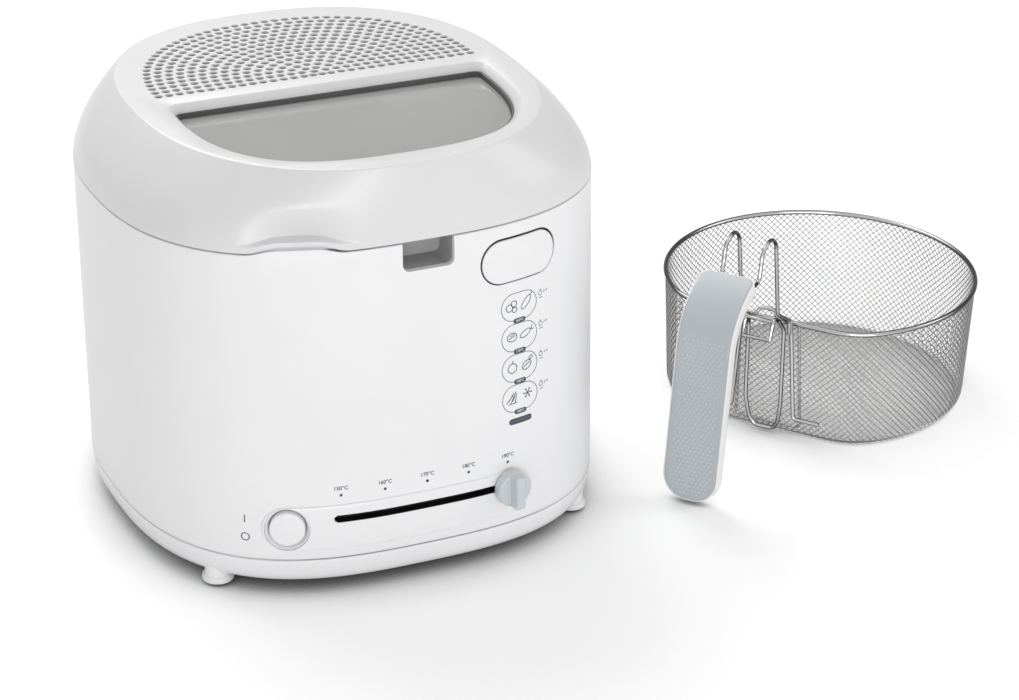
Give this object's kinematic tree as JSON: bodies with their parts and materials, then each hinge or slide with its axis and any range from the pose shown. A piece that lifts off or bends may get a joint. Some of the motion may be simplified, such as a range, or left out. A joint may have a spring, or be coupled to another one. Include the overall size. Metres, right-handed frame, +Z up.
{
  "type": "deep fryer",
  "caption": "Domestic deep fryer: moulded body with hinged windowed lid, steam grille, slide thermostat, and a lift-out wire basket with a bent-wire handle.",
  "frame": {"origin": "centre of the footprint of the fryer and its basket, on the floor", "axes": "+Z up; the front of the fryer faces -Y; the basket stands on the +X side"},
  "size_m": [0.565, 0.3212, 0.246],
  "materials": {
    "white_plastic": "smooth satin moulding",
    "grey_plastic": "fine satin",
    "inner_plastic": "moulded",
    "black_plastic": "moulded",
    "rubber": "matt",
    "silicone": "matt",
    "steel": "drawn wire and sheet",
    "coating": "non-stick coating",
    "aluminium": "cast",
    "smoked_glass": "clear pane",
    "filter_felt": "felt"
  },
  "bodies": {
    "fryer": {"body_shell": "white_plastic", "base_tray": "white_plastic", "feet": "white_plastic", "foot_pads": "rubber", "bowl": "coating", "heating_element": "steel", "heater_plate": "aluminium", "control_bracket": "inner_plastic", "thermostat_rail": "inner_plastic", "slot_guide": "black_plastic", "switch_bezel": "white_plastic", "switch_body": "inner_plastic", "release_frame": "white_plastic", "hinge_bracket": "white_plastic", "hinge_pin": "steel", "cord_gland": "inner_plastic", "terminal_block": "inner_plastic", "thermal_fuse": "steel", "base_screws": "steel"},
    "lid": {"lid_shell": "white_plastic", "window_pane": "smoked_glass", "window_gasket": "rubber", "lid_liner": "aluminium", "lid_seal": "silicone", "filter_tray": "inner_plastic", "filter_pad": "filter_felt", "lid_catch": "inner_plastic", "hinge_arm": "white_plastic", "lid_screws": "steel"},
    "lid_release": {"release_button": "white_plastic", "release_spring": "steel"},
    "latch": {"latch_hook": "inner_plastic"},
    "power_button": {"switch_button": "white_plastic"},
    "thermostat": {"thermostat_knob": "grey_plastic", "thermostat_carriage": "inner_plastic"},
    "basket": {"basket_rim": "steel", "basket_wall": "steel", "basket_floor": "steel", "basket_hem": "steel", "panel_frame": "steel", "handle_bracket": "steel"},
    "basket_handle": {"lift_rods": "steel", "hairpin_wires": "steel", "grip_shell": "white_plastic", "grip_insert": "grey_plastic"}
  },
  "joints": [
    {"name": "lid_hinge", "type": "hinge", "parent": "fryer", "child": "lid", "pos_m": [-0.14, 0.15636, 0.206], "axis": [-1, 0, 0], "range_deg": [0, 85]},
    {"name": "release_press", "type": "slide", "parent": "fryer", "child": "lid_release", "axis": [-0.2446, 0.9685, -0.0473], "range_m": [0, 0.003], "stiffness_N_per_m": 400, "springref_m": -0.002},
    {"name": "latch_slide", "type": "slide", "parent": "fryer", "child": "latch", "axis": [0, 1, 0], "range_m": [0, 0.00291]},
    {"name": "power_press", "type": "slide", "parent": "fryer", "child": "power_button", "axis": [0.394, 0.9179, -0.0473], "range_m": [0, 0.0025], "stiffness_N_per_m": 500, "springref_m": -0.002},
    {"name": "thermostat_slide", "type": "hinge", "parent": "fryer", "child": "thermostat", "pos_m": [-0.14, 0.26846, 0.048], "axis": [0, 0, -1], "range_deg": [0, 13.77]},
    {"name": "basket_lift", "type": "slide", "parent": "fryer", "child": "basket", "axis": [0, 0, 1], "range_m": [0, 0.25]},
    {"name": "handle_lift", "type": "slide", "parent": "basket", "child": "basket_handle", "axis": [0, 0, 1], "range_m": [0, 0.06]}
  ],
  "couplings": [
    {"joint": "latch_slide", "follows": "release_press", "ratio": 0.9685}
  ]
}
